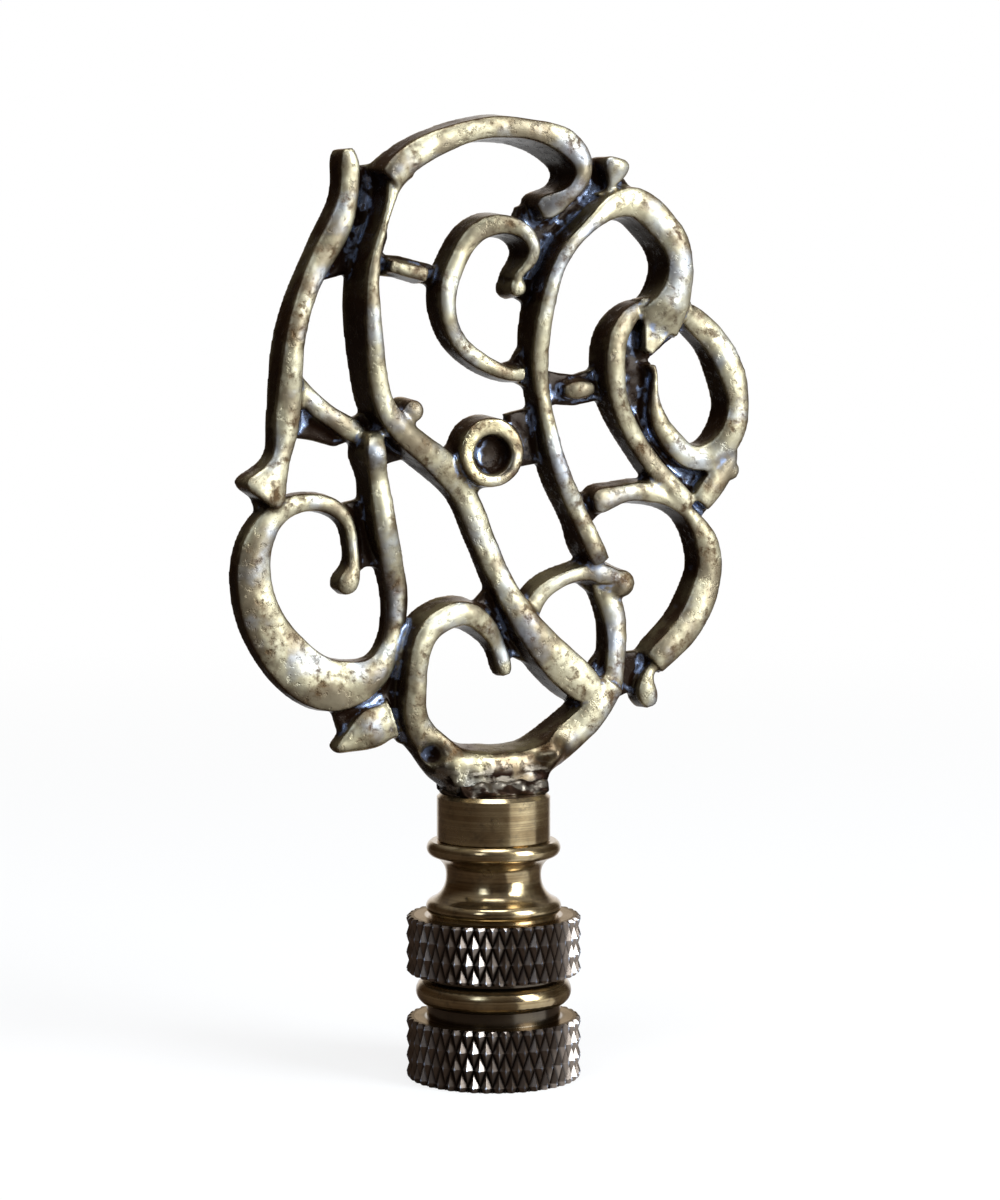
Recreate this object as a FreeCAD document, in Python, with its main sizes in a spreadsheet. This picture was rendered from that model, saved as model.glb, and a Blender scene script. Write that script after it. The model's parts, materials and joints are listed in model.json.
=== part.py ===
import FreeCAD, Part
import math
import os
import Sketcher

os.makedirs("parts", exist_ok=True)
doc = FreeCAD.newDocument("lamp_finial")

# Sizes, in millimetres. Heights are above the bottom of the base.
sheet = doc.addObject("Spreadsheet::Sheet", "Sizes")
sizes = [
    ("BaseHeight", 19.9, "bottom of the base to the collar's seat"),
    ("KnurlDiameter", 14.6, "over the points of both knurled rings"),
    ("KnurlDepth", 0.46, "point to groove of the knurl"),
    ("KnurlRowPitch", 1.44, "height from one row of points to the next"),
    ("RingChamfer", 0.28, "bevel on the edges of both rings"),
    ("LowerRingTop", 5.1, "top of the lower knurled ring"),
    ("UpperRingBottom", 8.86, "underside of the upper knurled ring"),
    ("UpperRingTop", 13.65, "top of the upper knurled ring"),
    ("RecessDiameter", 11.2, "grooves on both sides of the middle bead"),
    ("MiddleBeadDiameter", 13.0, "rounded bead between the rings"),
    ("MiddleBeadHeight", 2.2, "height of that bead"),
    ("NeckDiameter", 7.94, "narrowest part of the neck"),
    ("NeckBeadDiameter", 11.3, "bead at the foot of the neck"),
    ("FlangeDiameter", 11.25, "rounded flange under the collar"),
    ("FlangeHeight", 1.3, "height of that flange"),
    ("PipeBore", 9.3, "tapped for one eighth inch lamp pipe"),
    ("PipeBoreDepth", 5.0, "depth of that thread"),
    ("HarpBore", 5.44, "tapped one quarter inch, 27 to the inch"),
    ("HarpBoreEnd", 12.5, "height of its blind end"),
    ("CollarDiameter", 9.46, "turned collar under the scrollwork"),
    ("CollarHeight", 4.0, "seat to top of the collar"),
    ("CollarBevel", 0.32, "bevel on the collar's top edge"),
    ("StudDiameter", 4.16, "threaded stud inside"),
    ("StudLength", 6.2, "length of that stud"),
    ("StudInCollar", 2.3, "how far the stud goes into the collar"),
    ("TangDiameter", 3.2, "round tang of the casting"),
    ("TangLength", 1.4, "how far the tang goes into the collar"),
    ("FitClearance", 0.02, "gap all round the stud and the tang"),
    ("ScrollHeight", 56.1, "collar top to the crown of the scrollwork"),
    ("ScrollWidth", 47.0, "left edge to right edge of the scrollwork"),
    ("ScrollThickness", 4.7, "front to back at the thickest scroll"),
    ("BarWidth", 2.0, "face width of a plain bar"),
    ("BarCrown", 0.3, "rise of the rounded face of a plain bar"),
    ("BarDraft", 5.0, "draft of a bar's sides, in degrees"),
    ("WebThickness", 1.0, "sunk webs in the forks of the scrollwork"),
    ("BossDiameter", 6.2, "round boss in the middle"),
    ("BossPitDiameter", 3.5, "pit in the front of the boss"),
    ("BossPitDepth", 1.2, "depth of that pit"),
    ("FootWidth", 8.3, "foot of the casting, left to right"),
    ("FootDepth", 3.9, "foot of the casting, front to back"),
    ("SolderHeight", 1.0, "rise of the solder up the foot"),
]
for row, (alias, value, note) in enumerate(sizes, 1):
    sheet.set("A%d" % row, alias)
    sheet.set("B%d" % row, str(value))
    sheet.set("C%d" % row, note)
    sheet.setAlias("B%d" % row, alias)
knurl_points = 42
doc.recompute()


def size(alias):
    return float(getattr(sheet, alias))


def bind(obj, links):
    # Ties properties of an object to cells of the sheet.
    for name, text in links.items():
        obj.setExpression(name, text)
    return obj


def solid(kind, label, links):
    return bind(doc.addObject(kind, label), links)


def joined(kind, label, shapes):
    obj = doc.addObject(kind, label)
    if kind == "Part::Cut":
        obj.Base = shapes[0]
        obj.Tool = shapes[1]
    else:
        obj.Shapes = shapes
    return obj


def profile_sketch(body, name, corners):
    # Half section right of the axis. A corner is (x, x text, z, z text, arc).
    # The arc entry bends the side that leads to the next corner:
    # (radius, radius text, +1 bulging out or -1 hollow), or None for a line.
    sketch = body.newObject("Sketcher::SketchObject", name)
    plane = [f for f in body.Origin.OriginFeatures if f.Role == "XZ_Plane"][0]
    sketch.AttachmentSupport = [(plane, "")]
    sketch.MapMode = "FlatFace"
    points = [FreeCAD.Vector(c[0], c[2], 0) for c in corners]
    count = len(corners)
    starts = []
    ends = []
    for i, corner in enumerate(corners):
        here = points[i]
        there = points[(i + 1) % count]
        if corner[4] is None:
            sketch.addGeometry(Part.LineSegment(here, there))
            starts.append(1)
            ends.append(2)
            continue
        radius, text, way = corner[4]
        chord = there - here
        side = FreeCAD.Vector(chord.y, -chord.x, 0).normalize() * way
        half = chord.Length / 2
        sag = radius - math.sqrt(max(radius * radius - half * half, 0))
        middle = (here + there) * 0.5 + side * sag
        sketch.addGeometry(Part.Arc(here, middle, there))
        flipped = (sketch.getPoint(i, 1) - here).Length > 0.001
        starts.append(2 if flipped else 1)
        ends.append(1 if flipped else 2)
    for i in range(count):
        j = (i + 1) % count
        sketch.addConstraint(Sketcher.Constraint("Coincident", i, ends[i], j, starts[j]))
    for i, corner in enumerate(corners):
        if abs(corner[0]) < 1e-9:
            sketch.addConstraint(Sketcher.Constraint("PointOnObject", i, starts[i], -2))
        else:
            n = sketch.addConstraint(Sketcher.Constraint("DistanceX", -1, 1, i, starts[i], corner[0]))
            sketch.setExpression("Constraints[%d]" % n, corner[1])
        if abs(corner[2]) < 1e-9:
            sketch.addConstraint(Sketcher.Constraint("PointOnObject", i, starts[i], -1))
        else:
            n = sketch.addConstraint(Sketcher.Constraint("DistanceY", -1, 1, i, starts[i], corner[2]))
            sketch.setExpression("Constraints[%d]" % n, corner[3])
        if corner[4] is not None:
            n = sketch.addConstraint(Sketcher.Constraint("Radius", i, corner[4][0]))
            sketch.setExpression("Constraints[%d]" % n, corner[4][1])
    return sketch


def turned(label, corners):
    # One turned piece: its half section spun about the upright axis.
    body = doc.addObject("PartDesign::Body", label)
    rows = []
    for x_text, z_text, arc in corners:
        x_value = value_of(x_text)
        z_value = value_of(z_text)
        if arc is not None:
            arc = (value_of(arc[0]), arc[0], arc[1])
        rows.append((x_value, x_text, z_value, z_text, arc))
    sketch = profile_sketch(body, label + "_section", rows)
    doc.recompute()
    spin = body.newObject("PartDesign::Revolution", label + "_spin")
    spin.Profile = sketch
    spin.ReferenceAxis = (sketch, ["V_Axis"])
    spin.Angle = 360
    sketch.Visibility = False
    body.Tip = spin
    doc.recompute()
    return body


def value_of(text):
    # The number that a sheet expression gives now.
    probe = doc.getObject("Probe")
    if probe is None:
        probe = doc.addObject("App::FeaturePython", "Probe")
        probe.addProperty("App::PropertyFloat", "Number")
    probe.setExpression("Number", text)
    probe.recompute()
    return float(probe.Number)


# The base: one turning. Its knurled rings are cut separately below.
core = "Sizes.KnurlDiameter / 2 - Sizes.KnurlDepth - 0.5"
recess = "Sizes.RecessDiameter / 2"
neck = "Sizes.NeckDiameter / 2"
bead_middle = "(Sizes.LowerRingTop + Sizes.UpperRingBottom + 0.64) / 2"
bead_low = bead_middle + " - Sizes.MiddleBeadHeight / 2"
bead_high = bead_middle + " + Sizes.MiddleBeadHeight / 2"
bulge = "(Sizes.MiddleBeadDiameter - Sizes.RecessDiameter) / 2"
bead_arc = "((Sizes.MiddleBeadHeight / 2) ^ 2 + (%s) ^ 2) / (2 * %s)" % (bulge, bulge)
neck_foot = "Sizes.NeckBeadDiameter / 2 - 0.35"
flange_low = "Sizes.BaseHeight - Sizes.FlangeHeight"
flare_in = "(Sizes.NeckBeadDiameter / 2 - 0.35 - Sizes.NeckDiameter / 2)"
flare_up = "(Sizes.BaseHeight - 3.0 - Sizes.UpperRingTop - 1.3)"
flare_arc = "(%s ^ 2 + %s ^ 2) / (2 * %s)" % (flare_in, flare_up, flare_in)
under_in = "(Sizes.FlangeDiameter / 2 - 0.6 - Sizes.NeckDiameter / 2)"
under_up = "(2.8 - Sizes.FlangeHeight)"
under_arc = "(%s ^ 2 + %s ^ 2) / (2 * %s)" % (under_in, under_up, under_in)
turning = turned("base_turning", [
    ("0", "0.2", None),
    (core, "0.2", None),
    (core, "Sizes.LowerRingTop - 0.2", None),
    (recess, "Sizes.LowerRingTop - 0.2", None),
    (recess, bead_low, (bead_arc, 1)),
    (recess, bead_high, None),
    (recess, "Sizes.UpperRingBottom + 0.2", None),
    (core, "Sizes.UpperRingBottom + 0.2", None),
    (core, "Sizes.UpperRingTop - 0.2", None),
    (neck_foot, "Sizes.UpperRingTop - 0.2", None),
    (neck_foot, "Sizes.UpperRingTop + 0.15", ("0.65", 1)),
    (neck_foot, "Sizes.UpperRingTop + 1.3", (flare_arc, -1)),
    (neck, "Sizes.BaseHeight - 3.0", None),
    (neck, "Sizes.BaseHeight - 2.8", (under_arc, -1)),
    ("Sizes.FlangeDiameter / 2 - 0.6", flange_low, ("Sizes.FlangeHeight * 0.54", 1)),
    ("Sizes.FlangeDiameter / 2 - 0.4", "Sizes.BaseHeight", None),
    ("0", "Sizes.BaseHeight", None),
])

# Blanks of the two rings, bevelled at both edges.
def ring_blank(label, low, high):
    over = "Sizes.KnurlDiameter / 2 + 0.05"
    edge = "Sizes.KnurlDiameter / 2 + 0.05 - Sizes.RingChamfer"
    parts = []
    parts.append(solid("Part::Cone", label + "_low_bevel", {
        "Radius1": edge,
        "Radius2": over,
        "Height": "Sizes.RingChamfer",
        "Placement.Base.z": low,
    }))
    parts.append(solid("Part::Cylinder", label + "_band", {
        "Radius": over,
        "Height": "(%s) - (%s) - 2 * Sizes.RingChamfer" % (high, low),
        "Placement.Base.z": "%s + Sizes.RingChamfer" % low,
    }))
    parts.append(solid("Part::Cone", label + "_high_bevel", {
        "Radius1": over,
        "Radius2": edge,
        "Height": "Sizes.RingChamfer",
        "Placement.Base.z": "%s - Sizes.RingChamfer" % high,
    }))
    return joined("Part::MultiFuse", label + "_blank", parts)


def knurl_sleeve(label, low, high):
    # Diamond knurl as one closed solid: rows of pyramids, each row turned by
    # half a pitch. Where two grooves cross, the surface is at its lowest.
    tip = size("KnurlDiameter") / 2
    root = tip - size("KnurlDepth")
    pitch = size("KnurlRowPitch")
    half = 2 * knurl_points
    rows = int(math.ceil((high - low) / pitch)) + 4
    start = (low + high) / 2 - (rows - 1) * pitch / 2

    def node(row, place):
        radius = tip if (row + place) % 2 == 0 else root
        turn = 2 * math.pi * place / half
        return FreeCAD.Vector(radius * math.cos(turn), radius * math.sin(turn), start + row * pitch)

    faces = []
    for row in range(rows - 1):
        for place in range(half):
            a = node(row, place)
            b = node(row, place + 1)
            c = node(row + 1, place + 1)
            d = node(row + 1, place)
            if (row + place) % 2 == 0:
                trios = [(a, b, d), (b, c, d)]
            else:
                trios = [(a, b, c), (a, c, d)]
            for trio in trios:
                faces.append(Part.Face(Part.makePolygon([trio[0], trio[1], trio[2], trio[0]])))
    for row in (0, rows - 1):
        rim = [node(row, place) for place in range(half)]
        faces.append(Part.Face(Part.makePolygon(rim + [rim[0]])))
    sleeve = doc.addObject("Part::Feature", label + "_knurl")
    sleeve.Shape = Part.Solid(Part.makeShell(faces))
    return sleeve


lower_ring = joined("Part::MultiCommon", "lower_ring", [
    ring_blank("lower_ring", "0", "Sizes.LowerRingTop"),
    knurl_sleeve("lower_ring", 0, size("LowerRingTop")),
])
upper_ring = joined("Part::MultiCommon", "upper_ring", [
    ring_blank("upper_ring", "Sizes.UpperRingBottom", "Sizes.UpperRingTop"),
    knurl_sleeve("upper_ring", size("UpperRingBottom"), size("UpperRingTop")),
])
base_blank = joined("Part::MultiFuse", "base_blank", [turning, lower_ring, upper_ring])

# Bores of the base: two threads from below, the stud's hole from above.
stud_hole = "Sizes.StudDiameter / 2 + Sizes.FitClearance"
stud_low = "Sizes.BaseHeight - (Sizes.StudLength - Sizes.StudInCollar) - Sizes.FitClearance"
base_bores = joined("Part::MultiFuse", "base_bores", [
    solid("Part::Cylinder", "pipe_bore", {
        "Radius": "Sizes.PipeBore / 2",
        "Height": "Sizes.PipeBoreDepth + 1",
        "Placement.Base.z": "-1",
    }),
    solid("Part::Cone", "pipe_bore_end", {
        "Radius1": "Sizes.PipeBore / 2",
        "Radius2": "Sizes.HarpBore / 2",
        "Height": "0.5",
        "Placement.Base.z": "Sizes.PipeBoreDepth",
    }),
    solid("Part::Cylinder", "harp_bore", {
        "Radius": "Sizes.HarpBore / 2",
        "Height": "Sizes.HarpBoreEnd",
    }),
    solid("Part::Cylinder", "base_stud_hole", {
        "Radius": stud_hole,
        "Height": "6",
        "Placement.Base.z": stud_low,
    }),
])
base = joined("Part::Cut", "base", [base_blank, base_bores])

# The stud.
stud = solid("Part::Cylinder", "joining_stud", {
    "Radius": "Sizes.StudDiameter / 2",
    "Height": "Sizes.StudLength",
    "Placement.Base.z": "Sizes.BaseHeight + Sizes.StudInCollar - Sizes.StudLength",
})

# The collar, turned, with a hole for the stud below and the tang above.
collar_r = "Sizes.CollarDiameter / 2"
collar_top = "Sizes.BaseHeight + Sizes.CollarHeight"
collar_turning = turned("collar_turning", [
    ("0", "Sizes.BaseHeight", None),
    (collar_r + " - 0.12", "Sizes.BaseHeight", None),
    (collar_r, "Sizes.BaseHeight + 0.12", None),
    (collar_r, collar_top + " - Sizes.CollarBevel", None),
    (collar_r + " - Sizes.CollarBevel", collar_top, None),
    ("0", collar_top, None),
])
collar_holes = joined("Part::MultiFuse", "collar_holes", [
    solid("Part::Cylinder", "collar_stud_hole", {
        "Radius": stud_hole,
        "Height": "Sizes.StudInCollar + Sizes.FitClearance + 1",
        "Placement.Base.z": "Sizes.BaseHeight - 1",
    }),
    solid("Part::Cylinder", "collar_tang_hole", {
        "Radius": "Sizes.TangDiameter / 2 + Sizes.FitClearance",
        "Height": "Sizes.TangLength + Sizes.FitClearance + 1",
        "Placement.Base.z": collar_top + " - Sizes.TangLength - Sizes.FitClearance",
    }),
])
collar = joined("Part::Cut", "collar", [collar_turning, collar_holes])

# The scrollwork. Its drawing is a grid with x = 0 on the axis and z = 0 on
# the collar's top, 47 wide and 56.1 high, stretched to the sheet's sizes.
seat = size("BaseHeight") + size("CollarHeight")
grid_x = size("ScrollWidth") / 47.0
grid_z = size("ScrollHeight") / 56.1


def bar(label, stations, head=0.0, tail=0.0, flare=0.0):
    # One bar with a flat back and a rounded face, lofted through its stations.
    # Head and tail round off a free end by that much. Flare adds to the draft
    # of its sides. A fifth number in a station lifts the back off the plane.
    points = []
    halves = []
    depths = []
    for station in stations:
        x, z, wide, thick = station[:4]
        lift = sum(station[4:])
        points.append(FreeCAD.Vector(x * grid_x, size("FootDepth") / 2 - lift, seat + z * grid_z))
        halves.append(wide * size("BarWidth") / 2)
        depths.append(thick * size("ScrollThickness") / 4.7)
    count = len(points)
    ways = []
    for i in range(count):
        if i == 0:
            way = points[1] - points[0]
        elif i == count - 1:
            way = points[-1] - points[-2]
        else:
            before = points[i] - points[i - 1]
            after = points[i + 1] - points[i]
            way = before / before.Length ** 2 + after / after.Length ** 2
        ways.append(way.normalize())
    if head:
        points.insert(0, points[0] - ways[0] * head)
        ways.insert(0, ways[0])
        halves.insert(0, halves[0] * 0.6)
        depths.insert(0, depths[0] * 0.97)
    if tail:
        points.append(points[-1] + ways[-1] * tail)
        ways.append(ways[-1])
        halves.append(halves[-1] * 0.6)
        depths.append(depths[-1] * 0.97)
    slope = math.tan(math.radians(size("BarDraft") + flare))
    wires = []
    for point, wall, depth, way in zip(points, halves, depths, ways):
        across = FreeCAD.Vector(way.z, 0, -way.x)
        crown = size("BarCrown") * min(2 * wall / size("BarWidth"), 1.2)
        wide = wall + depth * slope
        face = FreeCAD.Vector(0, -depth, 0)
        top = FreeCAD.Vector(0, -depth - crown, 0)
        corners = [
            point - across * wall + face,
            point + across * wall + face,
            point + across * wide,
            point - across * wide,
        ]
        edges = [
            Part.Arc(corners[0], point + top, corners[1]).toShape(),
            Part.LineSegment(corners[1], corners[2]).toShape(),
            Part.LineSegment(corners[2], corners[3]).toShape(),
            Part.LineSegment(corners[3], corners[0]).toShape(),
        ]
        wires.append(Part.Wire(edges))
    obj = doc.addObject("Part::Feature", label)
    obj.Shape = Part.makeLoft(wires, True, False)
    return obj


# Bars of the scrollwork. Stations are (x, z, face width, thickness) on the
# drawing; widths are parts of the plain bar's width, thickness runs from the
# flat back to the edge of the face.
bars = [
    bar("outer_leg", [
        (-12.9, 52.5, 0.66, 2.2), (-12.8, 51.0, 0.86, 2.2), (-13.3, 47.8, 0.98, 2.2),
        (-15.3, 43.9, 0.98, 2.1), (-17.0, 40.4, 0.84, 2.4), (-17.8, 37.4, 0.90, 2.6),
        (-18.1, 33.4, 1.04, 2.2), (-18.4, 29.8, 0.98, 2.0), (-19.3, 27.0, 1.10, 2.2),
        (-20.6, 25.1, 1.70, 2.6),
    ], head=0.45, tail=0.3),
    bar("long_scroll", [
        (-8.9, 51.2, 1.10, 3.9), (-9.9, 49.0, 0.42, 4.0), (-10.7, 46.6, 0.30, 4.2),
        (-11.3, 44.6, 0.40, 4.2), (-11.75, 42.0, 0.56, 4.4), (-11.6, 38.6, 0.72, 4.3),
        (-11.1, 35.1, 0.80, 3.8), (-10.4, 32.4, 0.86, 3.6), (-8.8, 30.3, 1.04, 3.4),
        (-6.5, 28.6, 1.10, 2.8), (-4.4, 27.1, 1.24, 2.1), (-2.6, 25.2, 1.14, 1.5),
        (-1.15, 22.2, 1.12, 1.4), (0.05, 19.4, 1.06, 1.5), (1.1, 16.9, 1.02, 2.2),
        (2.6, 14.2, 1.22, 2.9), (4.9, 11.5, 1.50, 2.9), (7.1, 9.5, 1.64, 2.75),
        (8.8, 8.1, 1.30, 2.65), (10.0, 7.1, 0.90, 2.6),
    ]),
    bar("crown_arc", [
        (-10.0, 50.4, 1.15, 3.4, 0.55), (-8.2, 52.2, 1.10, 2.6, 1.5), (-5.2, 53.7, 0.98, 2.5, 1.6),
        (-1.8, 54.7, 0.85, 3.0, 1.2), (1.3, 54.8, 0.84, 3.9, 0.4), (4.2, 54.3, 0.96, 4.4),
        (6.4, 53.0, 1.02, 4.4), (7.1, 51.4, 0.80, 4.4), (6.6, 50.1, 0.60, 4.3),
        (5.5, 49.1, 0.76, 4.0), (4.1, 48.3, 0.95, 3.3),
    ], tail=0.5),
    bar("small_bar", [(-9.4, 43.6, 0.49, 2.3), (-6.1, 42.8, 0.57, 2.5)]),
    bar("crook", [
        (1.9, 42.2, 0.46, 2.7), (2.5, 43.5, 0.46, 3.2), (3.0, 45.0, 0.52, 3.6),
        (2.4, 46.2, 0.62, 3.6), (1.1, 46.9, 0.72, 3.3), (-0.4, 46.9, 0.82, 3.0),
        (-2.0, 46.1, 0.82, 2.7), (-3.4, 44.1, 0.80, 2.6), (-4.3, 41.8, 0.78, 2.7),
        (-4.15, 39.3, 0.70, 2.5), (-3.1, 37.4, 0.70, 2.1), (-1.5, 36.05, 0.70, 1.9),
        (0.6, 35.0, 0.60, 2.0), (2.8, 34.7, 0.55, 2.2),
    ]),
    bar("crown_bud", [(9.6, 49.4, 0.36, 2.1), (10.7, 50.9, 0.70, 2.8), (11.0, 52.3, 1.10, 2.9)], tail=0.3),
    bar("s_curve", [
        (15.0, 38.6, 2.10, 2.35), (16.2, 41.0, 1.50, 3.4), (16.65, 43.5, 1.16, 3.6),
        (16.1, 45.7, 1.24, 3.5), (14.6, 47.6, 1.32, 3.2), (12.5, 48.9, 1.26, 3.15),
        (10.3, 48.5, 0.96, 3.4), (8.0, 46.9, 0.58, 3.8), (6.2, 45.2, 0.58, 3.85),
        (5.0, 42.9, 0.60, 3.6), (4.15, 39.4, 0.72, 3.3), (3.95, 35.9, 0.73, 2.8),
        (4.5, 32.6, 0.66, 2.3), (5.1, 29.2, 0.68, 2.7), (6.3, 25.6, 0.78, 2.8),
        (8.0, 22.4, 0.84, 2.5), (9.9, 18.9, 0.78, 2.4),
    ]),
    bar("inner_c", [
        (14.2, 40.5, 0.32, 1.8), (12.2, 39.3, 0.78, 2.7), (11.0, 37.5, 0.88, 3.1),
        (10.8, 35.0, 0.88, 3.1), (11.35, 32.4, 0.82, 2.7), (12.8, 29.8, 0.82, 2.15),
        (14.8, 27.1, 0.84, 2.0), (16.7, 25.0, 0.92, 2.2), (18.2, 23.3, 0.86, 2.2),
    ]),
    bar("right_loop", [
        (17.8, 40.0, 0.70, 2.0), (19.4, 38.7, 1.12, 2.0), (21.2, 36.7, 1.20, 2.2),
        (22.25, 34.0, 1.16, 2.8), (22.5, 31.3, 1.02, 3.0), (21.8, 29.2, 1.13, 2.9),
        (20.5, 27.8, 1.14, 2.5), (18.6, 27.5, 1.00, 2.3), (16.8, 28.7, 1.00, 2.3),
        (15.5, 30.4, 0.80, 2.3), (14.9, 32.5, 0.44, 2.3), (14.6, 35.4, 0.36, 2.2),
    ]),
    bar("side_link", [
        (21.5, 29.0, 1.00, 2.35), (21.8, 27.4, 0.90, 2.5), (21.0, 25.8, 1.00, 2.5),
        (19.3, 23.6, 0.90, 2.4),
    ]),
    bar("right_hook", [
        (9.5, 23.9, 0.84, 2.1), (11.7, 24.5, 0.76, 2.1), (14.1, 24.7, 0.78, 2.1),
        (16.3, 24.1, 0.60, 2.15), (18.4, 22.6, 0.60, 2.25), (19.8, 20.6, 0.98, 2.3),
        (20.3, 18.4, 1.14, 2.2), (19.8, 16.1, 1.26, 2.2), (18.6, 13.8, 1.26, 2.35),
        (16.8, 11.8, 1.22, 2.4), (15.0, 10.1, 1.06, 2.2),
    ], head=0.3, flare=5.0),
    bar("hook_bud", [
        (15.4, 10.3, 0.80, 2.0), (14.5, 9.0, 0.55, 2.0), (14.4, 7.7, 0.92, 2.1),
        (14.7, 6.8, 0.70, 2.05),
    ], tail=0.35),
    bar("drop_bar", [
        (9.8, 18.4, 0.90, 1.9), (11.0, 15.8, 1.16, 1.5), (11.5, 13.2, 0.98, 1.85),
        (11.3, 10.6, 0.90, 2.25), (11.0, 8.0, 0.80, 2.3),
    ]),
    bar("link_arc", [
        (2.9, 13.9, 0.80, 2.1), (3.7, 15.4, 0.78, 2.05), (5.1, 16.9, 0.64, 2.1),
        (6.9, 17.7, 0.56, 2.1), (9.2, 18.05, 0.70, 2.2), (10.8, 17.7, 0.74, 2.2),
        (11.8, 17.2, 0.76, 2.1), (12.3, 16.5, 0.90, 2.1),
    ], tail=0.25, flare=7.0),
    bar("oval_bead", [
        (6.6, 33.3, 0.36, 1.75), (7.2, 33.3, 0.62, 1.95), (8.0, 33.35, 0.74, 2.05),
        (8.8, 33.4, 0.62, 1.95), (9.4, 33.4, 0.36, 1.75),
    ]),
    bar("low_scroll", [
        (1.4, 10.1, 0.60, 1.4), (0.8, 11.9, 0.66, 1.5), (-0.7, 13.9, 0.84, 2.15),
        (-2.5, 15.0, 0.96, 2.6), (-4.5, 14.8, 0.98, 2.8), (-6.2, 13.7, 0.94, 2.95),
        (-7.1, 11.6, 0.88, 3.0), (-7.3, 9.4, 0.87, 2.85), (-7.3, 7.2, 1.00, 2.6),
        (-6.6, 5.4, 1.14, 2.3), (-5.5, 4.1, 1.32, 2.4), (-4.2, 2.75, 1.48, 3.0),
        (-2.2, 2.05, 1.52, 3.5), (0.6, 2.0, 1.46, 3.5), (3.2, 2.4, 1.32, 3.25),
        (5.6, 3.5, 1.38, 2.85), (7.8, 5.1, 1.34, 2.7), (9.4, 6.7, 1.20, 2.7),
        (10.9, 8.6, 1.10, 2.6),
    ], head=0.45, flare=4.0),
    bar("left_scroll", [
        (-13.4, 17.3, 0.62, 1.70), (-13.05, 17.7, 0.88, 1.80), (-12.65, 18.3, 0.84, 1.75),
        (-12.35, 19.4, 0.50, 1.65), (-12.4, 21.0, 0.46, 1.6),
        (-12.8, 22.7, 0.50, 1.6), (-14.0, 24.0, 0.66, 1.65), (-16.0, 24.5, 0.70, 1.7),
        (-18.3, 24.0, 0.84, 1.7), (-20.05, 22.5, 1.14, 1.7), (-20.95, 20.3, 1.38, 1.7),
        (-21.0, 17.8, 1.54, 1.7), (-20.3, 15.2, 1.72, 1.7), (-18.9, 12.9, 1.92, 1.6),
        (-16.8, 10.7, 2.10, 1.6), (-14.3, 9.5, 2.10, 1.6), (-12.0, 9.7, 1.76, 1.6),
        (-9.9, 10.9, 1.16, 1.5), (-8.8, 13.2, 0.90, 1.3), (-8.4, 15.6, 1.02, 1.2),
        (-8.7, 18.2, 1.00, 1.5), (-9.7, 21.0, 0.96, 2.8), (-10.35, 23.8, 0.92, 3.2),
        (-10.7, 26.8, 0.84, 2.9), (-10.8, 30.2, 0.70, 2.5),
    ], head=0.22),
    bar("cross_bar", [
        (-17.6, 34.7, 0.60, 2.0), (-16.6, 33.3, 0.78, 1.75), (-15.1, 31.9, 0.83, 1.7),
        (-13.4, 30.8, 0.88, 1.7), (-11.8, 29.9, 0.66, 1.5),
    ], tail=0.25),
    bar("leaf", [
        (-13.8, 4.2, 0.40, 1.7), (-13.3, 4.45, 0.62, 1.65), (-11.7, 5.3, 1.42, 1.6), (-10.2, 6.0, 1.64, 1.6),
        (-8.8, 6.5, 1.70, 1.6),
    ], head=0.3),
]

# Rounded ends of the hooks and the small buds: (x, z, radius, thickness).
knobs = [
    ("crook_end", 1.95, 41.85, 0.75, 2.7),
    ("bar_bud", -7.7, 31.8, 0.88, 3.3),
    ("side_tip", 22.1, 26.4, 0.85, 2.4),
    ("knob", 12.0, 17.0, 1.15, 2.0),
]

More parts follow.
